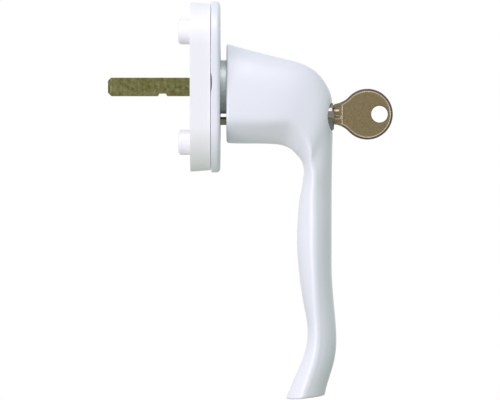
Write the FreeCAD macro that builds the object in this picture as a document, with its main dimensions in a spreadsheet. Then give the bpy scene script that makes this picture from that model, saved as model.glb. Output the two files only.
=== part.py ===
import FreeCAD
import Part
import math
import os
import Sketcher

# Locking window handle, in millimetres.
# The spindle runs along X and the room is on the +X side. The sash face is the plane X = 0,
# the grip hangs down along -Z, and the lock and its key sit below the spindle line.

SIZES = {
    # Rosette base and its locating lugs
    "rosette_height": 65.8,
    "rosette_width": 33.8,
    "base_thickness": 7.9,
    "base_draft": 4.3,
    "base_floor": 2.4,
    "lug_spacing": 43.0,
    "lug_diameter": 9.8,
    "lug_length": 4.7,
    "lug_chamfer": 0.8,
    "screw_hole": 5.3,
    # Support plate let into the base
    "plate_margin": 2.9,
    "plate_thickness": 1.5,
    "plate_clearance": 0.1,
    "strike_clearance": 0.3,
    "strike_end_gap": 0.5,
    # Bush in the plate
    "journal_diameter": 15.0,
    "journal_clearance": 0.05,
    "bush_wall": 1.0,
    "bush_flange_width": 2.0,
    "bush_flange_thickness": 1.1,
    # Detent: a square cam between two leaf springs
    "cam_width": 15.0,
    "cam_corner": 5.0,
    "cam_seat": 11.0,
    "cam_clearance": 0.05,
    "cam_side_gap": 0.1,
    "leaf_thickness": 0.8,
    "leaf_side_gap": 0.4,
    "leaf_leg": 2.4,
    "leaf_end_gap": 0.3,
    "chamber_width": 22.8,
    "chamber_height": 20.8,
    # Cover with its clips
    "cover_overhang": 0.3,
    "cover_depth": 3.5,
    "cover_wall": 1.8,
    "cover_front": 1.2,
    "cover_gap": 0.2,
    "cover_opening": 30.2,
    "cover_front_rounding": 1.6,
    "pry_length": 8.0,
    "pry_depth": 0.45,
    "pry_height": 1.2,
    "clip_width": 6.0,
    "clip_steel": 0.4,
    "clip_foot": 3.6,
    "clip_clearance": 0.05,
    "clip_front_gap": 0.3,
    # Sleeve that carries the handle
    "collar_diameter": 20.8,
    "neck_gap": 2.4,
    "spigot_diameter": 16.0,
    "spigot_length": 6.0,
    "tail_diameter": 13.0,
    "tail_clearance": 0.2,
    "tail_recess": 0.2,
    "ring_groove_depth": 0.6,
    "ring_thickness": 1.0,
    "ring_width": 2.9,
    "ring_gap": 3.0,
    "ring_clearance": 0.05,
    "recess_depth": 1.4,
    "recess_clearance": 0.5,
    # Spindle with its crimp and roll pin
    "spindle_width": 7.0,
    "spindle_reach": 32.0,
    "spindle_grip_depth": 20.0,
    "spindle_chamfer": 1.2,
    "spindle_clearance": 0.05,
    "crimp_start": 9.1,
    "crimp_length": 3.6,
    "crimp_depth": 1.0,
    "crimp_slope": 0.5,
    "roll_pin_diameter": 3.0,
    "roll_pin_bore": 1.8,
    "roll_pin_inset": 7.0,
    "roll_pin_top": 7.0,
    "roll_pin_slot": 0.7,
    # Lock cylinder in the neck
    "lock_drop": 11.67,
    "lock_diameter": 12.2,
    "lock_length": 19.7,
    "lock_proud": 1.0,
    "lock_clearance": 0.05,
    "lock_edge": 0.9,
    "plug_offset": 1.1,
    "plug_wall": 0.9,
    "plug_clearance": 0.05,
    "plug_recess": 0.3,
    "plug_journal_inset": 1.2,
    "plug_clip_thickness": 0.6,
    "plug_clip_rim_gap": 0.15,
    "plug_clip_slot": 2.4,
    "clip_end_gap": 0.05,
    "tang_width": 4.0,
    "tang_length": 4.2,
    # Pin tumblers
    "tumbler_inset": 3.8,
    "tumbler_pitch": 2.6,
    "tumbler_diameter": 1.8,
    "tumbler_clearance": 0.05,
    "tumbler_tip": 0.9,
    "driver_length": 1.0,
    "driver_gap": 0.1,
    "strip_thickness": 0.45,
    "strip_width": 2.3,
    "strip_inset": 0.17,
    # Cam drum, slider and locking pin
    "slider_bore_radius": 4.0,
    "drum_length": 7.9,
    "drum_groove_depth": 1.0,
    "drum_clearance": 0.2,
    "drum_side_gap": 0.1,
    "peg_diameter": 1.6,
    "peg_clearance": 0.05,
    "peg_taper": 0.27,
    "peg_inset": 1.5,
    "groove_overrun": 0.6,
    "lock_travel": 4.5,
    "slider_gap": 0.9,
    "slider_length": 10.1,
    "slider_floor": 2.1,
    "slider_clearance": 0.07,
    "slider_end_gap": 0.1,
    "pin_diameter": 3.2,
    "pin_clearance": 0.15,
    "pin_drop": 13.2,
    "pin_chamfer": 0.5,
    # Grub screw that holds the lock
    "grub_diameter": 4.0,
    "grub_inset": 2.5,
    "grub_dog": 0.4,
    "grub_length": 4.9,
    "grub_socket": 2.0,
    "grub_socket_depth": 1.6,
    # Key
    "key_thickness": 2.0,
    "blade_height": 7.0,
    "blade_length": 15.0,
    "blade_taper": 1.5,
    "keyway_clearance": 0.1,
    "keyway_end_gap": 0.3,
    "shoulder_height": 7.86,
    "shoulder_gap": 0.2,
    "bow_radius": 9.85,
    "bow_reach": 12.8,
    "bow_blend": 9.0,
    "ring_hole_diameter": 6.5,
    "ring_hole_wall": 1.9,
    "first_cut": 0.5,
    "cut_step": 0.4,
    "cut_flat": 1.3,
    "upper_groove_height": 1.5,
    "upper_groove_width": 0.7,
    "upper_groove_runout": 1.7,
    "lower_groove_height": -1.15,
    "lower_groove_width": 1.3,
    "lower_groove_runout": 2.5,
    "key_groove_depth": 0.5,
    # Handle casting
    "neck_top": 16.9,
    "neck_bottom": 21.8,
    "neck_width": 30.0,
    "grip_width": 20.0,
    "grip_front": 54.7,
    "grip_depth": 13.3,
    "grip_drop": 120.2,
    "neck_rounding": 1.2,
    "tip_rounding": 1.2,
}

# Places that several pieces share, as sums of the driving dimensions
PLATE_HEIGHT = "(rosette_height - 2 * plate_margin)"
PLATE_WIDTH = "(rosette_width - 2 * plate_margin)"
PLATE_REAR = "(base_thickness - plate_thickness)"
CAM_REAR = "(base_floor + cam_side_gap)"
CAM_FRONT = "(base_thickness - plate_thickness - cam_side_gap)"
BUSH_FRONT = "(base_thickness + bush_flange_thickness)"
COLLAR_REAR = "(base_thickness + bush_flange_thickness + journal_clearance)"
COVER_REAR = "(base_thickness + cover_gap)"
COVER_FACE = "(base_thickness + cover_gap + cover_depth)"
COVER_HEIGHT = "(rosette_height + 2 * cover_overhang)"
COVER_WIDTH = "(rosette_width + 2 * cover_overhang)"
NECK_REAR = "(base_thickness + cover_gap + cover_depth + neck_gap)"
SPINDLE_END = "(%s + spindle_grip_depth)" % NECK_REAR
ROLL_PIN_X = "(%s - roll_pin_inset)" % SPINDLE_END
LOCK_FACE = "(grip_front + lock_proud)"
LOCK_REAR = "(%s - lock_length)" % LOCK_FACE
LOCK_BORE = "(lock_diameter / 2 + lock_clearance)"
PLUG_Z = "(plug_offset - lock_drop)"
PLUG_RADIUS = "(blade_height / 2 + plug_wall)"
PLUG_FACE = "(%s - plug_recess)" % LOCK_FACE
DRUM_REAR = "(%s - plug_clip_thickness - 2 * clip_end_gap)" % LOCK_REAR
DRUM_FRONT = "(%s - drum_length)" % DRUM_REAR
DRUM_RADIUS = "(slider_bore_radius - drum_clearance)"
SLIDER_REAR = "(%s - slider_gap)" % LOCK_REAR
SLIDER_FRONT = "(%s - slider_length)" % SLIDER_REAR
PEG_X = "(%s - peg_inset)" % SLIDER_REAR
PIN_TIP = "(%s - cover_front)" % COVER_FACE
SHOULDER = "(%s + shoulder_gap)" % LOCK_FACE
BLADE_TIP = "(%s - blade_length)" % SHOULDER

TUMBLERS = 4
V = FreeCAD.Vector
ALONG_X = FreeCAD.Rotation(V(0, 1, 0), 90)
UPWARD = FreeCAD.Rotation()

doc = FreeCAD.newDocument("WindowHandle")
sheet = doc.addObject("Spreadsheet::Sheet", "Sizes")
for row, (alias, value) in enumerate(SIZES.items(), start=1):
    sheet.set("A%d" % row, alias)
    sheet.set("B%d" % row, str(value))
    sheet.setAlias("B%d" % row, alias)
doc.recompute()


def mm(alias):
    """A driving dimension, read from the sheet."""
    return float(sheet.get(alias))


def bound(expression):
    """The expression with each alias written as a cell of the sheet."""
    written = ""
    word = ""
    for letter in expression + " ":
        if letter.isalnum() or letter == "_":
            word += letter
            continue
        written += "Sizes." + word if word in SIZES else word
        written += letter
        word = ""
    return written.strip()


def bind(item, target, expression):
    item.setExpression(target, bound(expression))


def place(item, x="0", y="0", z="0"):
    bind(item, "Placement.Base.x", x)
    bind(item, "Placement.Base.y", y)
    bind(item, "Placement.Base.z", z)


def cylinder(name, radius, length, x="0", y="0", z="0", turn=ALONG_X):
    item = doc.addObject("Part::Cylinder", name)
    bind(item, "Radius", radius)
    bind(item, "Height", length)
    item.Placement.Rotation = turn
    place(item, x, y, z)
    return item


def block(name, length, width, height, x, y, z):
    """A box from its lowest X, centred on Y, from its lowest Z."""
    item = doc.addObject("Part::Box", name)
    bind(item, "Length", length)
    bind(item, "Width", width)
    bind(item, "Height", height)
    place(item, x, "(%s) - (%s) / 2" % (y, width), z)
    return item


def fused(name, items):
    item = doc.addObject("Part::MultiFuse", name)
    item.Shapes = items
    return item


def cut(name, base, tools):
    """Cuts the tools one after another; the last result has the name."""
    for number, tool in enumerate(tools, start=1):
        last = number == len(tools)
        item = doc.addObject("Part::Cut", name if last else "%s_stage_%d" % (name, number))
        item.Base = base
        item.Tool = tool
        base = item
    return base


def new_body(name, z="0"):
    body = doc.addObject("PartDesign::Body", name)
    place(body, z=z)
    return body


def sketch_on(body, name, role="YZ_Plane", offset="0"):
    sketch = body.newObject("Sketcher::SketchObject", body.Name + "_" + name)
    planes = [item for item in body.Origin.OriginFeatures if item.Role == role]
    sketch.AttachmentSupport = (planes[0], [""])
    sketch.MapMode = "FlatFace"
    bind(sketch, "AttachmentOffset.Base.z", offset)
    return sketch


def constrain(sketch, kind, *parts):
    return sketch.addConstraint(Sketcher.Constraint(kind, *parts))


def measure(sketch, kind, expression, *parts):
    number = constrain(sketch, kind, *parts, 1.0)
    bind(sketch, "Constraints[%d]" % number, expression)


def pin_point(sketch, edge, point, across, up):
    measure(sketch, "DistanceX", across, -1, 1, edge, point)
    measure(sketch, "DistanceY", up, -1, 1, edge, point)


def draw_polygon(sketch, corners):
    first = sketch.GeometryCount
    count = len(corners)
    ring = [V(math.cos(2 * math.pi * k / count), math.sin(2 * math.pi * k / count), 0)
            for k in range(count)]
    for k in range(count):
        sketch.addGeometry(Part.LineSegment(ring[k], ring[(k + 1) % count]))
    for k, (across, up) in enumerate(corners):
        constrain(sketch, "Coincident", first + k, 2, first + (k + 1) % count, 1)
        pin_point(sketch, first + k, 1, across, up)


def draw_rectangle(sketch, left, right, bottom, top):
    draw_polygon(sketch, [(left, bottom), (right, bottom), (right, top), (left, top)])


def draw_circle(sketch, radius, across="0", up="0"):
    edge = sketch.addGeometry(Part.Circle(V(1, 1, 0), V(0, 0, 1), 1))
    pin_point(sketch, edge, 3, across, up)
    measure(sketch, "Radius", radius, edge)


def draw_stadium(sketch, width, height):
    """An upright slot with round ends, centred on the origin."""
    round_end = Part.Circle(V(0, 1, 0), V(0, 0, 1), 1)
    top = sketch.addGeometry(Part.ArcOfCircle(round_end, 0, math.pi))
    round_end.Center = V(0, -1, 0)
    low = sketch.addGeometry(Part.ArcOfCircle(round_end, math.pi, 2 * math.pi))
    left = sketch.addGeometry(Part.LineSegment(V(-1, 1, 0), V(-1, -1, 0)))
    right = sketch.addGeometry(Part.LineSegment(V(1, -1, 0), V(1, 1, 0)))
    for one, other in ((top, left), (left, low), (low, right), (right, top)):
        constrain(sketch, "Tangent", one, 2, other, 1)
    constrain(sketch, "PointOnObject", top, 3, -2)
    constrain(sketch, "Symmetric", top, 3, low, 3, -1, 1)
    constrain(sketch, "Equal", top, low)
    measure(sketch, "Radius", "(%s) / 2" % width, top)
    measure(sketch, "DistanceY", "(%s) - (%s)" % (height, width), low, 3, top, 3)


def pad(body, sketch, length, towards=1, both=False):
    feature = body.newObject("PartDesign::Pad", sketch.Name + "_pad")
    feature.Profile = sketch
    bind(feature, "Length", length)
    feature.Reversed = towards < 0
    if both:
        feature.SideType = "Symmetric"
    return feature


def pocket(body, sketch, depth=None, reverse=False):
    """Cuts against the sketch's normal, or along it in reverse, to a depth or right through."""
    feature = body.newObject("PartDesign::Pocket", sketch.Name + "_pocket")
    feature.Profile = sketch
    feature.Reversed = reverse
    if depth is None:
        feature.Type = "ThroughAll"
    else:
        bind(feature, "Length", depth)
    return feature


def turned(name, profile, z="0"):
    """A body turned about the X direction, from (x, radius) corners."""
    body = new_body(name, z)
    sketch = sketch_on(body, "profile", "XZ_Plane")
    draw_polygon(sketch, profile)
    feature = body.newObject("PartDesign::Revolution", name + "_turning")
    feature.Profile = sketch
    feature.ReferenceAxis = (sketch, ["H_Axis"])
    feature.Angle = 360
    return body


def edges_where(feature, test):
    doc.recompute()
    edges = feature.Shape.Edges
    return ["Edge%d" % number for number, edge in enumerate(edges, start=1) if test(edge.BoundBox)]


def near(one, other):
    return abs(one - other) < 0.01


def dress(body, kind, name, base, names, size):
    """A PartDesign fillet or chamfer on the named edges."""
    feature = body.newObject("PartDesign::" + kind, body.Name + "_" + name)
    feature.Base = (base, names)
    bind(feature, "Radius" if kind == "Fillet" else "Size", size)
    return feature


# Rosette base: a moulded stadium with draft, two screw lugs behind and a chamber in front.
base = new_body("rosette_base")
outline = sketch_on(base, "outline")
draw_stadium(outline, "rosette_width", "rosette_height")
shell = pad(base, outline, "base_thickness")
bind(shell, "TaperAngle", "-base_draft")
lugs = sketch_on(base, "lugs")
for side in ("", "-"):
    draw_circle(lugs, "lug_diameter / 2", "0", side + "lug_spacing / 2")
lug_pad = pad(base, lugs, "lug_length", towards=-1)
lug_rims = edges_where(lug_pad, lambda box: near(box.XMax, -mm("lug_length")))
dress(base, "Chamfer", "lug_rims", lug_pad, lug_rims, "lug_chamfer")

seat = sketch_on(base, "plate_seat", offset="base_thickness")
draw_stadium(seat, PLATE_WIDTH + " + 2 * plate_clearance", PLATE_HEIGHT + " + 2 * plate_clearance")
pocket(base, seat, "plate_thickness")
chamber = sketch_on(base, "chamber", offset="base_thickness")
draw_rectangle(chamber, "-chamber_width / 2", "chamber_width / 2",
               "-chamber_height / 2", "chamber_height / 2")
pocket(base, chamber, "base_thickness - base_floor")
strikes = sketch_on(base, "strikes", offset="base_thickness")
for side in ("", "-"):
    draw_circle(strikes, "pin_diameter / 2 + strike_clearance", "0", side + "pin_drop")
pocket(base, strikes, "base_thickness - %s + lock_travel + strike_end_gap" % PIN_TIP)
bore = sketch_on(base, "bore", offset="base_thickness")
draw_circle(bore, "tail_diameter / 2 + tail_clearance")
pocket(base, bore)
recess = sketch_on(base, "recess")
draw_circle(recess, "tail_diameter / 2 - ring_groove_depth + ring_width + recess_clearance")
pocket(base, recess, "recess_depth", reverse=True)
screws = sketch_on(base, "screws", offset="base_thickness")
for side in ("", "-"):
    draw_circle(screws, "screw_hole / 2", "0", side + "lug_spacing / 2")
pocket(base, screws)

# Support plate: a steel stadium pierced for the bush, the screws and the locking pin.
plate = new_body("support_plate")
blank = sketch_on(plate, "blank", offset=PLATE_REAR)
draw_stadium(blank, PLATE_WIDTH, PLATE_HEIGHT)
pad(plate, blank, "plate_thickness")
piercing = sketch_on(plate, "piercing", offset="base_thickness")
draw_circle(piercing, "journal_diameter / 2 + journal_clearance + bush_wall")
for side in ("", "-"):
    draw_circle(piercing, "screw_hole / 2", "0", side + "lug_spacing / 2")
    draw_circle(piercing, "pin_diameter / 2 + strike_clearance", "0", side + "pin_drop")
pocket(plate, piercing)

# Bearing bush: an acetal ring whose flange keeps the steel collar off the plate.
BUSH_BORE = "(journal_diameter / 2 + journal_clearance)"
turned("bearing_bush", [
    (PLATE_REAR, BUSH_BORE),
    (PLATE_REAR, BUSH_BORE + " + bush_wall"),
    ("base_thickness", BUSH_BORE + " + bush_wall"),
    ("base_thickness", BUSH_BORE + " + bush_flange_width"),
    (BUSH_FRONT, BUSH_BORE + " + bush_flange_width"),
    (BUSH_FRONT, BUSH_BORE),
])

# Detent springs: two flat U springs that lie on opposite flats of the square cam.
LEAF_HALF = "(chamber_width / 2 - leaf_end_gap)"
LEAF_FACE = "(cam_width / 2 + cam_clearance)"
for name, side in (("detent_spring_upper", ""), ("detent_spring_lower", "-")):
    spring = new_body(name)
    strip = sketch_on(spring, "strip", offset="base_floor + leaf_side_gap")
    inner_half = "(%s - leaf_thickness)" % LEAF_HALF
    heights = {
        "face": side + LEAF_FACE,
        "back": side + "(%s + leaf_thickness)" % LEAF_FACE,
        "foot": side + "(%s + leaf_leg)" % LEAF_FACE,
    }
    draw_polygon(strip, [
        ("-" + LEAF_HALF, heights["face"]),
        (LEAF_HALF, heights["face"]),
        (LEAF_HALF, heights["foot"]),
        (inner_half, heights["foot"]),
        (inner_half, heights["back"]),
        ("-" + inner_half, heights["back"]),
        ("-" + inner_half, heights["foot"]),
        ("-" + LEAF_HALF, heights["foot"]),
    ])
    pad(spring, strip, "%s - base_floor - 2 * leaf_side_gap" % PLATE_REAR)

# Rosette cover: a shallow cap with a round opening and a pry notch in each long side.
cover = new_body("rosette_cover")
rim = sketch_on(cover, "rim", offset=COVER_REAR)
draw_stadium(rim, COVER_WIDTH, COVER_HEIGHT)
cap = pad(cover, rim, "cover_depth")
front_x = mm("base_thickness") + mm("cover_gap") + mm("cover_depth")
front_rim = edges_where(cap, lambda box: near(box.XMin, front_x) and near(box.XMax, front_x))
dress(cover, "Fillet", "front_rim", cap, front_rim, "cover_front_rounding")
hollow = sketch_on(cover, "hollow", offset=COVER_REAR)
draw_stadium(hollow, COVER_WIDTH + " - 2 * cover_wall", COVER_HEIGHT + " - 2 * cover_wall")
pocket(cover, hollow, "cover_depth - cover_front", reverse=True)
opening = sketch_on(cover, "opening", offset=COVER_FACE)
draw_circle(opening, "cover_opening / 2")
pocket(cover, opening)
PRY_RADIUS = "((pry_length^2 / 4 + pry_depth^2) / (2 * pry_depth))"
for name, side, reverse in (("near_notch", "", True), ("far_notch", "-", False)):
    notch = sketch_on(cover, name, "XZ_Plane")
    draw_circle(notch, PRY_RADIUS, COVER_REAR + " + pry_depth - " + PRY_RADIUS,
                side + "pry_height")
    pocket(cover, notch, reverse=reverse)

# Cover clips: small steel angles on the plate that press on the inside of the cover's ends.
CLIP_WALL = "sqrt((%s / 2 - cover_wall)^2 - (clip_width / 2)^2)" % COVER_WIDTH
CLIP_OUT = "((%s - %s) / 2 + %s - clip_clearance)" % (COVER_HEIGHT, COVER_WIDTH, CLIP_WALL)
CLIP_TOP = "(%s - cover_front - clip_front_gap)" % COVER_FACE
for name, side in (("cover_clip_upper", ""), ("cover_clip_lower", "-")):
    clip = new_body(name)
    angle = sketch_on(clip, "angle", "XZ_Plane")
    draw_polygon(angle, [
        ("base_thickness", side + "(%s - clip_foot)" % CLIP_OUT),
        ("base_thickness + clip_steel", side + "(%s - clip_foot)" % CLIP_OUT),
        ("base_thickness + clip_steel", side + "(%s - 2 * clip_steel)" % CLIP_OUT),
        (CLIP_TOP, side + "(%s - clip_steel)" % CLIP_OUT),
        (CLIP_TOP, side + CLIP_OUT),
        ("base_thickness", side + "(%s - clip_steel)" % CLIP_OUT),
    ])
    pad(clip, angle, "clip_width", both=True)

# Neck sleeve: turned steel, with the collar that shows, a journal, a cam seat and a tail.
TAIL = "tail_diameter / 2"
GROOVE = "(tail_diameter / 2 - ring_groove_depth)"
RING_REAR = "(recess_depth - ring_clearance - ring_thickness)"
RING_FRONT = "(recess_depth - ring_clearance)"
sleeve = turned("neck_sleeve", [
    ("tail_recess", "0"),
    ("tail_recess", TAIL),
    (RING_REAR, TAIL),
    (RING_REAR, GROOVE),
    (RING_FRONT, GROOVE),
    (RING_FRONT, TAIL),
    (CAM_FRONT, TAIL),
    (CAM_FRONT, "journal_diameter / 2"),
    (COLLAR_REAR, "journal_diameter / 2"),
    (COLLAR_REAR, "collar_diameter / 2"),
    (NECK_REAR, "collar_diameter / 2"),
    (NECK_REAR, "spigot_diameter / 2"),
    (NECK_REAR + " + spigot_length", "spigot_diameter / 2"),
    (NECK_REAR + " + spigot_length", "0"),
])
square = sketch_on(sleeve, "square", offset=NECK_REAR + " + spigot_length")
SPINDLE_HOLE = "(spindle_width / 2 + spindle_clearance)"
draw_rectangle(square, "-" + SPINDLE_HOLE, SPINDLE_HOLE, "-" + SPINDLE_HOLE, SPINDLE_HOLE)
pocket(sleeve, square)
FLAT_CUT = "(tail_diameter / 2 + cam_clearance)"
flats = sketch_on(sleeve, "flats", offset=CAM_FRONT)
draw_rectangle(flats, "-cam_seat / 2", "cam_seat / 2", "-cam_seat / 2", "cam_seat / 2")
draw_rectangle(flats, "-" + FLAT_CUT, FLAT_CUT, "-" + FLAT_CUT, FLAT_CUT)
pocket(sleeve, flats, CAM_FRONT + " - base_floor")

# Detent cam: a rounded square that snaps into place at every quarter turn.
cam = new_body("detent_cam")
cam_blank = sketch_on(cam, "blank", offset=CAM_REAR)
draw_rectangle(cam_blank, "-cam_width / 2", "cam_width / 2", "-cam_width / 2", "cam_width / 2")
cam_pad = pad(cam, cam_blank, "%s - %s" % (CAM_FRONT, CAM_REAR))
corners = edges_where(cam_pad, lambda box: box.YLength < 0.01 and box.ZLength < 0.01)
dress(cam, "Fillet", "corners", cam_pad, corners, "cam_corner")
cam_hole = sketch_on(cam, "hole", offset=CAM_FRONT)
CAM_HOLE = "(cam_seat / 2 + cam_clearance)"
draw_rectangle(cam_hole, "-" + CAM_HOLE, CAM_HOLE, "-" + CAM_HOLE, CAM_HOLE)
pocket(cam, cam_hole)

# Retaining ring: an open spring ring in the groove of the tail.
RING_BORE = "(%s + ring_clearance)" % GROOVE
ring = turned("retaining_ring", [
    (RING_REAR, RING_BORE),
    (RING_REAR, RING_BORE + " + ring_width"),
    (RING_FRONT, RING_BORE + " + ring_width"),
    (RING_FRONT, RING_BORE),
])
mouth = sketch_on(ring, "mouth", offset=RING_FRONT)
draw_rectangle(mouth, "-ring_gap / 2", "ring_gap / 2",
               "-(%s + 2 * ring_width)" % RING_BORE, "0")
pocket(ring, mouth)

# Spindle: a square steel bar with a crimp below and a cross hole for the roll pin.
spindle = new_body("spindle")
bar = sketch_on(spindle, "bar", offset="-spindle_reach")
draw_rectangle(bar, "-spindle_width / 2", "spindle_width / 2",
               "-spindle_width / 2", "spindle_width / 2")
bar_pad = pad(spindle, bar, "spindle_reach + " + SPINDLE_END)
end_edges = edges_where(bar_pad, lambda box: box.XLength < 0.01)
dress(spindle, "Chamfer", "ends", bar_pad, end_edges, "spindle_chamfer")
crimp = sketch_on(spindle, "crimp", "XZ_Plane")
draw_polygon(crimp, [
    ("-crimp_start", "-spindle_width / 2"),
    ("-crimp_start - crimp_slope", "-spindle_width / 2 + crimp_depth"),
    ("-crimp_start - crimp_length + crimp_slope", "-spindle_width / 2 + crimp_depth"),
    ("-crimp_start - crimp_length", "-spindle_width / 2"),
])
crimp_cut = pocket(spindle, crimp)
crimp_cut.SideType = "Symmetric"
cross_hole = sketch_on(spindle, "cross_hole", "XY_Plane", "spindle_width")
draw_circle(cross_hole, "roll_pin_diameter / 2", ROLL_PIN_X)
pocket(spindle, cross_hole)

# Roll pin: a slotted tube driven up from the lock bore through the spindle.
ROLL_PIN_BOTTOM = "(%s - lock_drop + strike_clearance)" % LOCK_BORE
ROLL_PIN_LENGTH = "(roll_pin_top - %s)" % ROLL_PIN_BOTTOM
roll_tube = cylinder("roll_tube", "roll_pin_diameter / 2", ROLL_PIN_LENGTH,
                     ROLL_PIN_X, "0", ROLL_PIN_BOTTOM, UPWARD)
roll_bore = cylinder("roll_bore", "roll_pin_bore / 2", ROLL_PIN_LENGTH,
                     ROLL_PIN_X, "0", ROLL_PIN_BOTTOM, UPWARD)
roll_slot = block("roll_slot", "roll_pin_diameter", "roll_pin_slot", ROLL_PIN_LENGTH,
                  ROLL_PIN_X, "0", ROLL_PIN_BOTTOM)
cut("spindle_roll_pin", roll_tube, [roll_bore, roll_slot])

# Lock body: a nickelled cylinder with the plug bore above its centre and pin chambers below.
lock = turned("lock_body", [
    (LOCK_REAR, "0"),
    (LOCK_REAR, "lock_diameter / 2"),
    (LOCK_FACE + " - lock_edge", "lock_diameter / 2"),
    (LOCK_FACE, "lock_diameter / 2 - lock_edge"),
    (LOCK_FACE, "0"),
], "-lock_drop")
plug_bore = sketch_on(lock, "plug_bore", offset=LOCK_FACE)
draw_circle(plug_bore, PLUG_RADIUS + " + plug_clearance", "0", "plug_offset")
pocket(lock, plug_bore)
TUMBLER_X = ["(%s - tumbler_inset - %d * tumbler_pitch)" % (LOCK_FACE, k)
             for k in range(TUMBLERS)]
TUMBLER_HOLE = "(tumbler_diameter / 2 + tumbler_clearance)"
STRIP_BOTTOM = "(strip_inset - lock_diameter / 2)"
STRIP_TOP = "(%s + strip_thickness)" % STRIP_BOTTOM
STRIP_REAR = "(%s - tumbler_diameter)" % TUMBLER_X[-1]
STRIP_LENGTH = "(%s - %s + 2 * tumbler_diameter)" % (TUMBLER_X[0], TUMBLER_X[-1])
chambers = sketch_on(lock, "chambers", "XY_Plane", "plug_offset")
for x in TUMBLER_X:
    draw_circle(chambers, TUMBLER_HOLE, x)
pocket(lock, chambers)
strip_slot = sketch_on(lock, "strip_slot", "XY_Plane", STRIP_TOP)
draw_rectangle(strip_slot, STRIP_REAR, STRIP_REAR + " + " + STRIP_LENGTH,
               "-strip_width / 2", "strip_width / 2")
pocket(lock, strip_slot)
GRUB_X = "(%s + grub_inset)" % LOCK_REAR
grub_seat = sketch_on(lock, "grub_seat", "XY_Plane", "grub_dog - lock_diameter / 2")
draw_circle(grub_seat, "grub_diameter / 2 + lock_clearance", GRUB_X)
pocket(lock, grub_seat)

# Chamber strip: closes the pin chambers along the underside of the lock body.
block("chamber_strip", STRIP_LENGTH, "strip_width", "strip_thickness",
      STRIP_REAR, "0", STRIP_BOTTOM + " - lock_drop")

# Driver pins and their close wound springs, below the shear line.
SHEAR_DEPTH = "sqrt(%s^2 - (tumbler_diameter / 2)^2)" % PLUG_RADIUS
DRIVER_TOP = "(%s - %s - driver_gap)" % (PLUG_Z, PLUG_RADIUS)
DRIVER_BOTTOM = "(%s - driver_length)" % DRIVER_TOP
SPRING_FOOT = "(%s - lock_drop)" % STRIP_TOP
SPRING_LENGTH = "(%s - %s)" % (DRIVER_BOTTOM, SPRING_FOOT)
drivers = []
springs = []
for k, x in enumerate(TUMBLER_X):
    drivers.append(cylinder("driver_%d" % k, "tumbler_diameter / 2", "driver_length",
                            x, "0", DRIVER_BOTTOM, UPWARD))
    springs.append(cylinder("spring_%d" % k, "tumbler_diameter / 2 - tumbler_clearance",
                            SPRING_LENGTH, x, "0", SPRING_FOOT, UPWARD))
fused("driver_pins", drivers)
fused("tumbler_springs", springs)

# Grub screw: comes up through the underside of the neck into the lock body.
GRUB_TOP = "(grub_dog - lock_drop - lock_diameter / 2)"
grub = new_body("lock_grub_screw", GRUB_TOP)
grub_round = sketch_on(grub, "round", "XY_Plane", "-grub_length")
draw_circle(grub_round, "grub_diameter / 2", GRUB_X)
pad(grub, grub_round, "grub_length")
socket = sketch_on(grub, "socket", "XY_Plane", "-grub_length")
SOCKET_CORNER = "(grub_socket / sqrt(3))"
draw_polygon(socket, [("%s + %s * %.4f" % (GRUB_X, SOCKET_CORNER, math.cos(math.radians(60 * k))),
                       "%s * %.4f" % (SOCKET_CORNER, math.sin(math.radians(60 * k))))
                      for k in range(6)])
pocket(grub, socket, "grub_socket_depth", reverse=True)

# Lock plug: turned brass with the keyway, four pin holes and a tang for the drum.
JOURNAL = "(%s - plug_journal_inset)" % PLUG_RADIUS
plug = turned("lock_plug", [
    (DRUM_REAR, "0"),
    (DRUM_REAR, JOURNAL),
    (LOCK_REAR, JOURNAL),
    (LOCK_REAR, PLUG_RADIUS),
    (PLUG_FACE, PLUG_RADIUS),
    (PLUG_FACE, "0"),
], PLUG_Z)
tang = sketch_on(plug, "tang", offset=DRUM_REAR)
draw_rectangle(tang, "-tang_width / 2", "tang_width / 2", "-tang_width / 2", "tang_width / 2")
pad(plug, tang, "tang_length", towards=-1)
SLOT_HALF = "(key_thickness / 2 + keyway_clearance)"
SLOT_HIGH = "(blade_height / 2 + keyway_clearance)"
RIB_Y = "(key_groove_depth - key_thickness / 2 - keyway_clearance)"
RIBS = [("lower_groove_height", "lower_groove_width"),
        ("upper_groove_height", "upper_groove_width")]
keyway_corners = [(SLOT_HALF, "-" + SLOT_HIGH), (SLOT_HALF, SLOT_HIGH),
                  ("-" + SLOT_HALF, SLOT_HIGH)]
for middle, width in reversed(RIBS):
    rib_half = "(%s / 2 - keyway_clearance)" % width
    for y, sign in (("-" + SLOT_HALF, "+"), (RIB_Y, "+"), (RIB_Y, "-"), ("-" + SLOT_HALF, "-")):
        keyway_corners.append((y, "%s %s %s" % (middle, sign, rib_half)))
keyway_corners.append(("-" + SLOT_HALF, "-" + SLOT_HIGH))
keyway = sketch_on(plug, "keyway", offset=PLUG_FACE)
draw_polygon(keyway, keyway_corners)
pocket(plug, keyway, "%s - %s + keyway_end_gap" % (PLUG_FACE, BLADE_TIP))
pin_holes = sketch_on(plug, "pin_holes", "XY_Plane", "0")
for x in TUMBLER_X:
    draw_circle(pin_holes, TUMBLER_HOLE, x)
pocket(plug, pin_holes)

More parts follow.
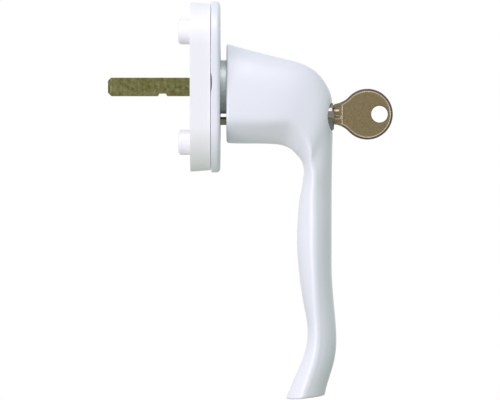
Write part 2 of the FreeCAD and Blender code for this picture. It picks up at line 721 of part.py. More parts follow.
# Key pins: each stands on its own cut of the key and ends just inside the shear line.
key_pins = []
for k, x in enumerate(TUMBLER_X):
    pin_top = "(%s - blade_height / 2 + first_cut + %d * cut_step)" % (PLUG_Z, k)
    pin_bottom = "(%s - %s + tumbler_clearance)" % (PLUG_Z, SHEAR_DEPTH)
    shank = cylinder("pin_shank_%d" % k, "tumbler_diameter / 2",
                     "%s - %s - tumbler_tip" % (pin_top, pin_bottom), x, "0", pin_bottom, UPWARD)
    tip = doc.addObject("Part::Cone", "pin_tip_%d" % k)
    bind(tip, "Radius1", "tumbler_diameter / 2")
    tip.Radius2 = 0
    bind(tip, "Height", "tumbler_tip")
    place(tip, x, "0", pin_top + " - tumbler_tip")
    key_pins.append(fused("key_pin_%d" % k, [shank, tip]))
fused("key_pins", key_pins)

# Plug clip: an open ring between the lock body and the drum that keeps the plug in.
CLIP_BORE = "(%s + clip_end_gap)" % JOURNAL
CLIP_RIM = "(%s - plug_offset - plug_clip_rim_gap)" % LOCK_BORE
plug_clip = turned("plug_clip", [
    (DRUM_REAR + " + clip_end_gap", CLIP_BORE),
    (DRUM_REAR + " + clip_end_gap", CLIP_RIM),
    (LOCK_REAR + " - clip_end_gap", CLIP_RIM),
    (LOCK_REAR + " - clip_end_gap", CLIP_BORE),
], PLUG_Z)
clip_mouth = sketch_on(plug_clip, "mouth", offset=LOCK_REAR)
draw_rectangle(clip_mouth, "-plug_clip_slot / 2", "plug_clip_slot / 2",
               "-2 * " + CLIP_RIM, "0")
pocket(plug_clip, clip_mouth)

# Cam drum: a helical groove turns a quarter turn of the key into the stroke of the pin.
GROOVE_RADIUS = "(peg_diameter / 2 + peg_clearance)"
GROOVE_CENTRE = "(%s - drum_groove_depth + %s)" % (DRUM_RADIUS, GROOVE_RADIUS)
drum_blank = cylinder("drum_blank", DRUM_RADIUS, "drum_length", DRUM_FRONT, "0", PLUG_Z)
TANG_HOLE = "(tang_width + 2 * tumbler_clearance)"
drum_socket = block("drum_socket", "tang_length + drum_side_gap", TANG_HOLE, TANG_HOLE,
                    DRUM_REAR + " - tang_length - drum_side_gap", "0",
                    "%s - %s / 2" % (PLUG_Z, TANG_HOLE))
helix = doc.addObject("Part::Helix", "drum_helix")
helix.LocalCoord = "Left-handed"
bind(helix, "Pitch", "4 * lock_travel")
bind(helix, "Height", "lock_travel + 2 * groove_overrun")
bind(helix, "Radius", GROOVE_CENTRE)
overrun_turn = 90 * mm("groove_overrun") / mm("lock_travel")
facing_down = FreeCAD.Rotation(V(0, 0, -1), V(0, -1, 0), V(-1, 0, 0), "ZXY")
before_start = FreeCAD.Rotation(V(1, 0, 0), -overrun_turn)
helix.Placement.Rotation = before_start.multiply(facing_down)
place(helix, PEG_X + " + groove_overrun", "0", PLUG_Z)
doc.recompute()
lead = mm("lock_travel") / (math.pi / 2)
groove_slope = math.degrees(math.atan2(helix.Radius.Value, lead))
mill_turn = FreeCAD.Rotation(V(0, 0, 1), -groove_slope).multiply(ALONG_X)
mill = doc.addObject("Part::Circle", "drum_mill")
bind(mill, "Radius", GROOVE_RADIUS)
mill.Placement.Rotation = before_start.multiply(mill_turn)
start_point = before_start.multVec(V(0, 0, -helix.Radius.Value))
mill.Placement.Base = helix.Placement.Base + start_point
groove = doc.addObject("Part::Sweep", "drum_groove")
groove.Sections = [mill]
groove.Spine = (helix, ["Edge1"])
groove.Solid = True
groove.Frenet = True
cut("cam_drum", drum_blank, [drum_socket, groove])

# Slider: a steel sleeve round the drum that can only slide, because the locking pin guides it.
slider = turned("lock_slider", [
    (SLIDER_FRONT, "0"),
    (SLIDER_FRONT, LOCK_BORE + " - slider_clearance"),
    (SLIDER_REAR, LOCK_BORE + " - slider_clearance"),
    (SLIDER_REAR, "0"),
], "-lock_drop")
slider_bore = sketch_on(slider, "bore", offset=SLIDER_REAR)
draw_circle(slider_bore, "slider_bore_radius", "0", "plug_offset")
pocket(slider, slider_bore, "slider_length - slider_floor")
pin_seat = sketch_on(slider, "pin_seat", offset=SLIDER_FRONT)
draw_circle(pin_seat, "pin_diameter / 2", "0", "lock_drop - pin_drop")
pocket(slider, pin_seat, "slider_floor", reverse=True)
peg_seat = sketch_on(slider, "peg_seat", "XY_Plane", "0")
draw_circle(peg_seat, "peg_diameter / 2", PEG_X)
pocket(slider, peg_seat)

# Slider peg: a pin with a tapered end that runs in the groove of the drum.
PEG_SHOULDER = "(%s - %s)" % (PLUG_Z, GROOVE_CENTRE)
PEG_FOOT = "(peg_clearance + slider_clearance - lock_drop - %s)" % LOCK_BORE
peg_shank = cylinder("peg_shank", "peg_diameter / 2", "%s - %s" % (PEG_SHOULDER, PEG_FOOT),
                     PEG_X, "0", PEG_FOOT, UPWARD)
peg_end = doc.addObject("Part::Cone", "peg_end")
bind(peg_end, "Radius1", "peg_diameter / 2")
bind(peg_end, "Radius2", "peg_diameter / 2 - peg_taper")
bind(peg_end, "Height", "2 * peg_taper")
place(peg_end, PEG_X, "0", PEG_SHOULDER)
fused("slider_peg", [peg_shank, peg_end])

# Locking pin: pressed into the slider, it bridges the gap between the neck and the cover.
PIN_RADIUS = "(pin_diameter / 2)"
turned("locking_pin", [
    (PIN_TIP, "0"),
    (PIN_TIP, PIN_RADIUS + " - pin_chamfer"),
    (PIN_TIP + " + pin_chamfer", PIN_RADIUS),
    (SLIDER_FRONT + " + slider_floor - slider_end_gap", PIN_RADIUS),
    (SLIDER_FRONT + " + slider_floor - slider_end_gap", "0"),
], "-pin_drop")

# Key: stamped brass, its blade cut in steps that deepen towards the tip.
key = new_body("key", PLUG_Z)
blade = sketch_on(key, "blade", "XZ_Plane")
blade_corners = [(SHOULDER, "-blade_height / 2"), (SHOULDER, "blade_height / 2"),
                 (BLADE_TIP + " + blade_taper", "blade_height / 2"),
                 (BLADE_TIP, "blade_height / 2 - blade_taper"),
                 (BLADE_TIP, "0"),
                 (TUMBLER_X[-1] + " - cut_flat",
                  "first_cut + %d * cut_step - blade_height / 2" % TUMBLERS)]
for k in reversed(range(TUMBLERS)):
    land = "first_cut + %d * cut_step - blade_height / 2" % k
    blade_corners.append((TUMBLER_X[k] + " - cut_flat / 2", land))
    blade_corners.append((TUMBLER_X[k] + " + cut_flat / 2", land))
blade_corners.append((TUMBLER_X[0] + " + cut_flat / 2 + first_cut", "-blade_height / 2"))
draw_polygon(blade, blade_corners)
pad(key, blade, "key_thickness", both=True)

bow_x = mm("grip_front") + mm("lock_proud") + mm("shoulder_gap") + mm("bow_reach")
bow_r = mm("bow_radius")
blend_r = mm("bow_blend")
blend_z = mm("shoulder_height") / 2 + blend_r
blend_x = bow_x - math.sqrt((bow_r + blend_r) ** 2 - blend_z ** 2)
joint_angle = math.atan2(blend_z, blend_x - bow_x)
shoulder_x = bow_x - mm("bow_reach")
shoulder_angle = -math.acos((shoulder_x - blend_x) / blend_r)
bow = sketch_on(key, "bow", "XZ_Plane")
bow_circle = Part.Circle(V(bow_x, 0, 0), V(0, 0, 1), bow_r)
ring = bow.addGeometry(Part.ArcOfCircle(bow_circle, -joint_angle, joint_angle))
upper_circle = Part.Circle(V(blend_x, blend_z, 0), V(0, 0, 1), blend_r)
upper = bow.addGeometry(Part.ArcOfCircle(upper_circle, shoulder_angle, joint_angle - math.pi))
lower_circle = Part.Circle(V(blend_x, -blend_z, 0), V(0, 0, 1), blend_r)
lower = bow.addGeometry(Part.ArcOfCircle(lower_circle, math.pi - joint_angle, -shoulder_angle))
shoulder_top = V(shoulder_x, mm("shoulder_height") / 2, 0)
shoulder = bow.addGeometry(Part.LineSegment(shoulder_top, V(shoulder_x, -shoulder_top.y, 0)))
constrain(bow, "Tangent", ring, 2, upper, 2)
constrain(bow, "Tangent", lower, 1, ring, 1)
constrain(bow, "Coincident", shoulder, 1, upper, 1)
constrain(bow, "Coincident", shoulder, 2, lower, 2)
constrain(bow, "Vertical", shoulder)
constrain(bow, "Equal", upper, lower)
pin_point(bow, ring, 3, SHOULDER + " + bow_reach", "0")
measure(bow, "Radius", "bow_radius", ring)
measure(bow, "Radius", "bow_blend", upper)
measure(bow, "DistanceY", "shoulder_height / 2 + bow_blend", -1, 1, upper, 3)
measure(bow, "DistanceY", "-shoulder_height / 2 - bow_blend", -1, 1, lower, 3)
measure(bow, "DistanceX", SHOULDER, -1, 1, shoulder, 1)
pad(key, bow, "key_thickness", both=True)
ring_hole = sketch_on(key, "ring_hole", "XZ_Plane", "key_thickness / 2")
draw_circle(ring_hole, "ring_hole_diameter / 2",
            SHOULDER + " + bow_reach + bow_radius - ring_hole_wall - ring_hole_diameter / 2")
pocket(key, ring_hole)
for name in ("upper_groove", "lower_groove"):
    track = sketch_on(key, name, "XZ_Plane", "key_thickness / 2")
    draw_rectangle(track, BLADE_TIP + " - key_groove_depth", "%s + %s_runout" % (SHOULDER, name),
                   "%s_height - %s_width / 2" % (name, name),
                   "%s_height + %s_width / 2" % (name, name))
    pocket(key, track, "key_groove_depth")

# Handle casting: sections swept round the bend, each an inner arc and an outer arc that meet
# at a softened ridge on either side. The neck's sections are tall and flat sided, the grip's
# are lens shaped. Each row holds the inner point, the outer point, the half width, the
# distance of the ridge from the inner point, and how far the section has turned from the
# neck's form (0) into the grip's (1).
neck_x = mm("base_thickness") + mm("cover_gap") + mm("cover_depth") + mm("neck_gap")
front = mm("grip_front")
rear = front - mm("grip_depth")
top = mm("neck_top")
bottom = -mm("neck_bottom")
neck_half = mm("neck_width") / 2
grip_half = mm("grip_width") / 2
drop = mm("grip_drop")
GRIP_START = -38.0
GRIP_SPAN = GRIP_START + drop


def grip_z(share):
    return GRIP_START - share * GRIP_SPAN


STATIONS = [
    (neck_x, bottom, neck_x, top, neck_half, 8.0, 0.0),
    (neck_x + 10, bottom - 0.15, neck_x + 10, top - 2.9, neck_half - 0.5, 8.1, 0.05),
    (neck_x + 19, bottom - 0.4, neck_x + 20, top - 5.4, neck_half - 1.4, 8.5, 0.2),
    (rear - 3.8, bottom - 1.6, front - 12.0, top - 7.7, neck_half - 2.5, 9.4, 0.4),
    (rear - 0.5, bottom - 4.1, front - 6.0, top - 11.0, neck_half - 3.4, 8.6, 0.6),
    (rear + 1.8, bottom - 7.1, front - 1.95, top - 16.0, neck_half - 3.9, 7.7, 0.75),
    (rear + 2.6, bottom - 10.2, front + 0.15, top - 21.4, neck_half - 4.3, 6.6, 0.9),
    (rear + 2.4, bottom - 12.9, front + 0.6, top - 30.9, grip_half + 0.1, 5.9, 1.0),
    (rear + 2.05, grip_z(0.0), front + 0.3, grip_z(-0.12), grip_half, 5.4, 1.0),
    (rear + 1.0, grip_z(0.065), front + 0.15, grip_z(0.0), grip_half - 0.1, 5.4, 1.0),
    (rear + 0.1, grip_z(0.19), front + 0.1, grip_z(0.15), grip_half, 6.2, 1.0),
    (rear, grip_z(0.29), front + 0.1, grip_z(0.28), grip_half + 0.1, 6.1, 1.0),
    (rear + 0.75, grip_z(0.415), front + 0.15, grip_z(0.415), grip_half - 0.1, 5.7, 1.0),
    (rear + 2.2, grip_z(0.54), front + 0.9, grip_z(0.55), grip_half - 0.6, 4.6, 1.0),
    (rear + 3.85, grip_z(0.655), front + 1.8, grip_z(0.675), grip_half - 1.0, 3.4, 1.0),
    (rear + 3.45, grip_z(0.77), front + 1.7, grip_z(0.785), grip_half - 0.9, 3.4, 1.0),
    (rear + 0.85, grip_z(0.86), front + 0.25, grip_z(0.87), grip_half - 0.3, 4.3, 1.0),
    (rear - 2.3, grip_z(0.95), front - 1.8, grip_z(0.95), grip_half + 0.2, 5.2, 1.0),
    (rear - 4.5, grip_z(1.012), front - 2.6, grip_z(0.995), grip_half + 0.3, 5.9, 1.0),
]
NECK_RIDGE_TRIM = 2.4
GRIP_RIDGE_TRIM = 1.9


def bezier(poles):
    curve = Part.BezierCurve()
    curve.setPoles(poles)
    return curve


def section_curves(inner_x, inner_z, outer_x, outer_z, half, ridge, turned_share):
    """Six smooth cubic pieces round a section, in the plane through the two points and Y."""
    inner = V(inner_x, 0, inner_z)
    across = V(outer_x, 0, outer_z) - inner
    depth = across.Length
    across.normalize()
    side_pull = (depth - ridge) * (0.55 + 0.05 * turned_share)
    side_lean = half * (0.02 + 0.13 * turned_share)
    crown_pull = half * (0.62 - 0.17 * turned_share)
    trim = NECK_RIDGE_TRIM + (GRIP_RIDGE_TRIM - NECK_RIDGE_TRIM) * turned_share
    rounds = []
    for side in (1, -1):
        def at(rise, breadth):
            return inner + across * rise + V(0, side * breadth, 0)
        back = bezier([at(0, 0), at(0, 0.42 * half), at(0.4 * ridge, 0.8 * half), at(ridge, half)])
        face = bezier([at(ridge, half), at(ridge + side_pull, half - side_lean),
                       at(depth, crown_pull), at(depth, 0)])
        back_pull = back.getPole(4).distanceToPoint(back.getPole(3))
        face_pull = face.getPole(1).distanceToPoint(face.getPole(2))
        back.segment(0, 1 - trim / (3 * back_pull))
        face.segment(trim / (3 * face_pull), 1)
        start = back.getPole(4)
        end = face.getPole(1)
        reach = 0.4 * start.distanceToPoint(end)
        leave = (start - back.getPole(3)).normalize() * reach
        arrive = (end - face.getPole(2)).normalize() * reach
        rounds.append([back.getPoles(), [start, start + leave, end + arrive, end],
                       face.getPoles()])
    near_side = [poles[::-1] for poles in rounds[1][::-1]]
    return rounds[0] + near_side


def between(one, other, share):
    return tuple(first + (second - first) * share for first, second in zip(one, other))


def drawn_in(station, inset):
    """The same section with its whole outline moved inwards."""
    inner_x, inner_z, outer_x, outer_z, half, ridge, turned_share = station
    inner = V(inner_x, 0, inner_z)
    outer = V(outer_x, 0, outer_z)
    across = (outer - inner).normalize() * inset
    inner += across
    outer -= across
    return (inner.x, inner.z, outer.x, outer.z, half - inset, ridge - inset, turned_share)


def rounded_end(end, following, radius):
    """Three rows of poles: the end face's outline, its sharp corner and the start of the skin."""
    gap = V(end[0] - following[0], 0, end[1] - following[1]).Length
    return [drawn_in(end, radius), end, between(end, following, radius / gap)]


def rounded(rows):
    """Quadratic faces that turn from the end face into the skin."""
    rings = [section_curves(*row) for row in rows]
    faces = []
    for piece in range(6):
        surface = Part.BSplineSurface()
        surface.buildFromPolesMultsKnots(
            [[ring[piece][pole] for ring in rings] for pole in range(4)], [4, 4], [3, 3],
            [0.0, 1.0], [0.0, 1.0], False, False, 3, 2)
        faces.append(surface.toShape())
    return faces


def skinned(rows):
    """Faces through all the sections, one for each of the six pieces round a section."""
    rings = [section_curves(*row) for row in rows]
    lengths = [0.0]
    for one, other in zip(rows, rows[1:]):
        middle = V((one[0] + one[2]) / 2, 0, (one[1] + one[3]) / 2)
        after = V((other[0] + other[2]) / 2, 0, (other[1] + other[3]) / 2)
        lengths.append(lengths[-1] + middle.distanceToPoint(after))
    faces = []
    for piece in range(6):
        lines = []
        for pole in range(4):
            line = Part.BSplineCurve()
            line.interpolate(Points=[ring[piece][pole] for ring in rings], Parameters=lengths)
            lines.append(line)
        surface = Part.BSplineSurface()
        surface.buildFromPolesMultsKnots(
            [line.getPoles() for line in lines], [4, 4], lines[0].getMultiplicities(),
            [0.0, 1.0], lines[0].getKnots(), False, False, 3, lines[0].Degree)
        faces.append(surface.toShape())
    return faces


def end_cap(row):
    return Part.Face(Part.Wire([bezier(poles).toShape() for poles in section_curves(*row)]))


neck_rows = rounded_end(STATIONS[0], STATIONS[1], mm("neck_rounding"))
tip_rows = rounded_end(STATIONS[-1], STATIONS[-2], mm("tip_rounding"))
long_rows = [neck_rows[-1]] + STATIONS[1:-1] + [tip_rows[-1]]
skin_faces = rounded(neck_rows) + skinned(long_rows) + rounded(tip_rows)
skin_shell = Part.makeShell(skin_faces + [end_cap(neck_rows[0]), end_cap(tip_rows[0])])
skin_shell.sewShape()
skin = doc.addObject("Part::Feature", "handle_skin")
skin.Shape = Part.makeSolid(skin_shell)
if skin.Shape.Volume < 0:
    skin.Shape = skin.Shape.reversed()

LOCK_BORE_FLOOR = "(%s - lock_travel - slider_end_gap)" % SLIDER_FRONT
spigot_bore = cylinder("spigot_bore", "spigot_diameter / 2", "spigot_length + neck_gap",
                       NECK_REAR + " - neck_gap")
spindle_bore = block("spindle_bore", "spindle_grip_depth + spindle_clearance",
                     "2 * " + SPINDLE_HOLE, "2 * " + SPINDLE_HOLE, NECK_REAR, "0",
                     "-" + SPINDLE_HOLE)
lock_bore = cylinder("lock_bore", LOCK_BORE, "2 * lock_length",
                     LOCK_BORE_FLOOR, "0", "-lock_drop")
locking_pin_bore = cylinder("locking_pin_bore", "pin_diameter / 2 + pin_clearance",
                            "%s - %s + neck_gap + slider_floor" % (LOCK_BORE_FLOOR, NECK_REAR),
                            NECK_REAR + " - neck_gap", "0", "-pin_drop")
roll_pin_bore = cylinder("roll_pin_bore", "roll_pin_diameter / 2", "lock_drop + roll_pin_top",
                         ROLL_PIN_X, "0", "-lock_drop", UPWARD)
grub_bore = cylinder("grub_bore", "grub_diameter / 2", "neck_bottom", GRUB_X, "0",
                     "-lock_drop - neck_bottom", UPWARD)
cut("handle_casting", skin,
    [spigot_bore, spindle_bore, lock_bore, locking_pin_bore, roll_pin_bore, grub_bore])

NODES = [
    "rosette_base", "support_plate", "bearing_bush", "detent_spring_upper",
    "detent_spring_lower", "cover_clip_upper", "cover_clip_lower", "rosette_cover",
    "handle_casting", "neck_sleeve", "detent_cam", "retaining_ring", "spindle",
    "spindle_roll_pin", "lock_body", "chamber_strip", "driver_pins", "tumbler_springs",
    "lock_grub_screw", "lock_plug", "key_pins", "plug_clip", "cam_drum", "lock_slider",
    "slider_peg", "locking_pin", "key",
]

doc.recompute()
for item in doc.Objects:
    for trouble in ("Invalid", "Error"):
        if trouble in item.State:
            raise RuntimeError("%s is %s" % (item.Name, trouble))
nodes = [doc.getObject(name) for name in NODES]
for node in nodes:
    node.Label = node.Name
    if node.Shape.isNull() or not node.Shape.isValid():
        raise RuntimeError("%s has no sound shape" % node.Name)

os.makedirs("parts", exist_ok=True)
for node in nodes:
    node.Shape.exportStep("parts/%s.step" % node.Label)
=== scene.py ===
import math

import bmesh
import bpy
from mathutils import Matrix, Vector


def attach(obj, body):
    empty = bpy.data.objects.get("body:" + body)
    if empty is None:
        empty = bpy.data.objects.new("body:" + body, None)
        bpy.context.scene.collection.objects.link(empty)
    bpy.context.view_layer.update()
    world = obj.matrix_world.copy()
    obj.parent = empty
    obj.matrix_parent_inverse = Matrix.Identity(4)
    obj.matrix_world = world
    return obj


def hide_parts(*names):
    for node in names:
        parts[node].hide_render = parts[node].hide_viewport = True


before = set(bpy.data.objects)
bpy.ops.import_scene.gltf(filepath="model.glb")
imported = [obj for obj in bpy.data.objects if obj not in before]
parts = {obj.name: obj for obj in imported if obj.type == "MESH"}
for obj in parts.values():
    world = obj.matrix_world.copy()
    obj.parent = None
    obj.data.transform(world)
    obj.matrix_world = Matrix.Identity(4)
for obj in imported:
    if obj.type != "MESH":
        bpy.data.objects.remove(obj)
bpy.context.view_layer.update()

# The view. A level camera in front of the handle's side, as a catalogue picture is taken.
# The picture's middle lies on the handle's own middle plane, below the neck.
VIEW_MIDDLE = Vector((0.0231, 0.0, -0.0439))
VIEW_DISTANCE = 1.2
VIEW_WIDTH = 0.19425
eye = bpy.data.cameras.new("eye")
eye.lens = eye.sensor_width * VIEW_DISTANCE / VIEW_WIDTH
camera = bpy.data.objects.new("camera", eye)
camera.location = VIEW_MIDDLE - Vector((0.0, VIEW_DISTANCE, 0.0))
camera.rotation_euler = (math.radians(90), 0.0, 0.0)
bpy.context.scene.collection.objects.link(camera)
bpy.context.scene.camera = camera
bpy.context.scene.view_settings.view_transform = "Standard"


# Rosette base. A stadium moulded in white ABS, with draft on its wall and two screw lugs behind.
# The mould leaves soft edges and a fine, even grain.
def linear(code):
    """An sRGB hex colour as a linear colour with full alpha."""
    shares = [int(code[k:k + 2], 16) / 255 for k in (1, 3, 5)]
    return [s / 12.92 if s <= 0.04045 else ((s + 0.055) / 1.055) ** 2.4 for s in shares] + [1.0]


def add(tree, kind, inputs=None, **settings):
    """Adds one shader node, with its settings, and with each input set or linked."""
    item = tree.nodes.new("ShaderNode" + kind)
    for name, value in settings.items():
        setattr(item, name, value)
    for name, value in (inputs or {}).items():
        if isinstance(value, bpy.types.NodeSocket):
            tree.links.new(value, item.inputs[name])
        else:
            item.inputs[name].default_value = value
    return item


def blank(name):
    """An empty material and its node tree."""
    finish = bpy.data.materials.new(name)
    finish.use_nodes = True
    finish.node_tree.nodes.clear()
    return finish, finish.node_tree


def per_mm(size):
    """The scale that gives a texture cells of the size in millimetres."""
    return 1000.0 / size


def coat(name, pale, deep, roughness, grain, relief, clouding=35.0):
    """A pale plastic or paint. Its colour clouds slowly, and its surface has a grain. Sizes in mm."""
    finish, tree = blank(name)
    place = add(tree, "TexCoord").outputs["Object"]
    cloud = add(tree, "TexNoise", {"Vector": place, "Scale": per_mm(clouding), "Detail": 2.0})
    tone = add(tree, "Mix", {0: cloud.outputs["Fac"], 6: linear(pale), 7: linear(deep)}, data_type="RGBA")
    fine = add(tree, "TexNoise", {"Vector": place, "Scale": per_mm(grain), "Detail": 3.0})
    bump = add(tree, "Bump", {"Height": fine.outputs["Fac"], "Distance": relief / 1000, "Strength": 0.6})
    shine = add(tree, "MapRange", {"Value": fine.outputs["Fac"], 3: roughness - 0.04, 4: roughness + 0.06})
    shader = add(tree, "BsdfPrincipled", {
        "Base Color": tone.outputs[2], "Roughness": shine.outputs[0], "Normal": bump.outputs[0],
        "IOR": 1.5})
    add(tree, "OutputMaterial", {"Surface": shader.outputs[0]})
    return finish


SAME_POINT = 2e-6
FLAT_ANGLE = math.radians(0.2)
EDGE_ANGLE = math.radians(35)
CREASE_ANGLE = math.radians(32)


def merged(source):
    """A CAD node's own form, joined into one skin. The node itself stays as it is."""
    form = bmesh.new()
    form.from_mesh(parts[source].data)
    bmesh.ops.remove_doubles(form, verts=form.verts, dist=SAME_POINT)
    bmesh.ops.dissolve_limit(form, angle_limit=FLAT_ANGLE, verts=form.verts, edges=form.edges)
    return form


def ease(form, width):
    """Rounds each sharp edge by the width, as the mould, the tool or the coat leaves it."""
    sharp = [edge for edge in form.edges if edge.is_manifold and edge.calc_face_angle(0) > EDGE_ANGLE]
    bmesh.ops.bevel(form, geom=sharp, offset=width, offset_type="OFFSET", segments=2,
                    profile=0.5, affect="EDGES", material=-1, clamp_overlap=True)


def show(form, name, *finishes):
    """Puts a finished form in the scene, smooth but for its creases, with its flats shaded flat."""
    mesh = bpy.data.meshes.new(name)
    form.to_mesh(mesh)
    form.free()
    if "custom_normal" in mesh.attributes:
        mesh.attributes.remove(mesh.attributes["custom_normal"])
    mesh.shade_smooth()
    mesh.set_sharp_from_angle(angle=CREASE_ANGLE)
    for finish in finishes:
        mesh.materials.append(finish)
    piece = bpy.data.objects.new(name, mesh)
    piece.modifiers.new("flats stay flat", "WEIGHTED_NORMAL").keep_sharp = True
    bpy.context.scene.collection.objects.link(piece)
    return piece


def stand_for(piece, node, body):
    """The piece takes the node's place and moves with the body."""
    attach(piece, body)
    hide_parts(node)


def dress(node, finish):
    """Gives a CAD node, which keeps its mesh, its material."""
    node.data.materials.clear()
    node.data.materials.append(finish)


BASE_EASE = 0.0004
# Moulded ABS is a cool white with a soft sheen. Its grain, really 0.1 mm, is drawn coarser to show.
moulded_abs = coat("white moulded ABS", "#F8F6FF", "#F3F1FC", 0.36, 0.35, 0.02)
base = merged("rosette_base")
ease(base, BASE_EASE)
stand_for(show(base, "moulded_base", moulded_abs), "rosette_base", "rosette")

# Support plate, bush, detent springs and cover clips. They lie under the cover.
# The plate is zinc plated sheet, the bush moulded acetal, the springs and clips hard steel strip.


def metal(name, pale, deep, roughness, grain, streak=(1.0, 1.0, 1.0), relief=0.01):
    """A bare or plated metal, mottled between two colours. Its grain, in mm, is drawn out where
    the streak is small."""
    finish, tree = blank(name)
    place = add(tree, "TexCoord").outputs["Object"]
    along = add(tree, "Mapping", {"Vector": place, "Scale": streak})
    mottle = add(tree, "TexNoise", {
        "Vector": along.outputs[0], "Scale": per_mm(grain), "Detail": 5.0, "Roughness": 0.65})
    spread = add(tree, "MapRange", {"Value": mottle.outputs["Fac"], 1: 0.3, 2: 0.7})
    tone = add(tree, "Mix", {0: spread.outputs[0], 6: linear(pale), 7: linear(deep)}, data_type="RGBA")
    shine = add(tree, "MapRange", {"Value": mottle.outputs["Fac"], 3: roughness - 0.08, 4: roughness + 0.1})
    bump = add(tree, "Bump", {"Height": mottle.outputs["Fac"], "Distance": relief / 1000, "Strength": 0.5})
    shader = add(tree, "BsdfPrincipled", {
        "Base Color": tone.outputs[2], "Roughness": shine.outputs[0], "Metallic": 1.0,
        "Normal": bump.outputs[0]})
    add(tree, "OutputMaterial", {"Surface": shader.outputs[0]})
    return finish


# The zinc bath leaves sheet steel pale grey, with a soft and cloudy sheen.
zinc_sheet = metal("zinc plated sheet steel", "#C9CCCB", "#AEB2B2", 0.34, 6.0)
# Natural acetal is milky and waxy, without a pattern.
acetal = coat("natural moulded acetal", "#E9E8E2", "#E2E1DA", 0.42, 0.4, 0.01)
# Rolled and hardened strip is a darker grey, with streaks along its length.
spring_steel = metal("hardened spring steel strip", "#8D8F93", "#75777B", 0.30, 3.0, (1.0, 6.0, 1.0))
dress(parts["support_plate"], zinc_sheet)
dress(parts["bearing_bush"], acetal)
for name in ("detent_spring_upper", "detent_spring_lower", "cover_clip_upper", "cover_clip_lower"):
    dress(parts[name], spring_steel)

# Rosette cover. A shallow white cap that snaps over the base and hides the screws.
# Its front edge is well rounded, and a lens shaped notch in each long side takes a screwdriver.
COVER_EASE = 0.0003
# The baked powder is a smooth bluish white with a satin gloss, and an orange peel 1 mm wide.
powder_coat = coat("white powder coat on aluminium", "#EDEDFA", "#E8E8F7", 0.30, 1.1, 0.006)
cap = merged("rosette_cover")
ease(cap, COVER_EASE)
stand_for(show(cap, "cover_shell", powder_coat), "rosette_cover", "cover")

# Neck sleeve, and the small steel pieces of the bearing and the lock. The sleeve is turned from
# bright free cutting steel. Only its collar shows, in the gap between the cover and the neck.
# The lathe leaves a greenish grey sheen, with feed lines round it, drawn wider apart than real.
turned_steel = metal("bright turned steel", "#D4DFDD", "#B0BBB7", 0.5, 0.5, (6.0, 0.15, 0.15), 0.004)
SLEEVE_EASE = 0.0002
sleeve = merged("neck_sleeve")
ease(sleeve, SLEEVE_EASE)
stand_for(show(sleeve, "turned_sleeve", turned_steel), "neck_sleeve", "handle")
for name in ("detent_cam", "lock_grub_screw", "cam_drum", "lock_slider", "slider_peg"):
    dress(parts[name], turned_steel)
for name in ("retaining_ring", "spindle_roll_pin", "tumbler_springs", "plug_clip"):
    dress(parts[name], spring_steel)

# Spindle. A drawn 7 mm square of steel, zinc plated and yellow passivated, which leaves an olive
# bloom with pale and dark blotches. Its end is chamfered and its lower edge has a crimp.
SPINDLE_EASE = 0.0002
# The passivated zinc is olive, with blotches a millimetre or two wide, and has a low sheen.
yellow_zinc = metal("yellow passivated zinc on steel", "#7F7F5C", "#504F1A", 0.36, 1.4, relief=0.02)
bar = merged("spindle")
ease(bar, SPINDLE_EASE)
stand_for(show(bar, "square_spindle", yellow_zinc), "spindle", "handle")

# Handle casting. Neck and grip in one aluminium casting, powder coated white.
# The coat flows out smooth, with a faint orange peel.
dress(parts["handle_casting"], powder_coat)

# Lock cylinder and plug. Turned brass, nickel plated and polished.
# The cylinder's nose is turned down a little, so that a fine dark gap shows round it in the neck.
LOCK_EASE = 0.00015
LOCK_AXIS_Z = -0.01167
NOSE_REAR = 0.048
NOSE_CORE = 0.005
NOSE_SHARE = 0.925
TOUCH = 1e-5
# Polished nickel is a warm grey mirror, which shows the lamp as one white patch.
nickel = metal("polished nickel plate", "#918E87", "#6B685F", 0.1, 1.5, (0.2, 1.0, 1.0), 0.003)
# Turned brass is a plain yellow, and fairly bright.
pin_brass = metal("turned brass", "#C9A867", "#A98848", 0.28, 1.0)
for source, name, body, finish, slot in (
        ("lock_body", "lock_cylinder", "handle", nickel, "nickel"),
        ("chamber_strip", "chamber_cover", "handle", pin_brass, "brass"),
        ("lock_plug", "keyed_plug", "lock_plug", nickel, "nickel")):
    turned = merged(source)
    if body == "handle":
        bmesh.ops.bisect_plane(turned, geom=turned.verts[:] + turned.edges[:] + turned.faces[:],
                               dist=1e-7, plane_co=(NOSE_REAR, 0.0, 0.0), plane_no=(1.0, 0.0, 0.0))
        nose = [vert for vert in turned.verts if vert.co.x > NOSE_REAR + TOUCH
                and math.hypot(vert.co.y, vert.co.z - LOCK_AXIS_Z) > NOSE_CORE]
        bmesh.ops.scale(turned, vec=(1.0, NOSE_SHARE, NOSE_SHARE), verts=nose,
                        space=Matrix.Translation((0.0, 0.0, -LOCK_AXIS_Z)))
    ease(turned, LOCK_EASE)
    stand_for(show(turned, name, finish), source, body)
for name in ("driver_pins", "key_pins"):
    dress(parts[name], pin_brass)

# Locking pin. A turned pin of the same plated steel as the spindle, polished by its bore.
PIN_EASE = 0.0002
# Rubbing has made the plating paler and brighter than the spindle's, with marks along the pin. Its colour
# is lifted further as painted light, against the shade between the cover and the neck.
pin_zinc = metal("yellow passivated zinc on a turned pin", "#8F8C74", "#6A6754", 0.22, 1.2,
                 (0.3, 1.0, 1.0))
pin = merged("locking_pin")
ease(pin, PIN_EASE)
stand_for(show(pin, "turned_pin", pin_zinc), "locking_pin", "lock_slider")

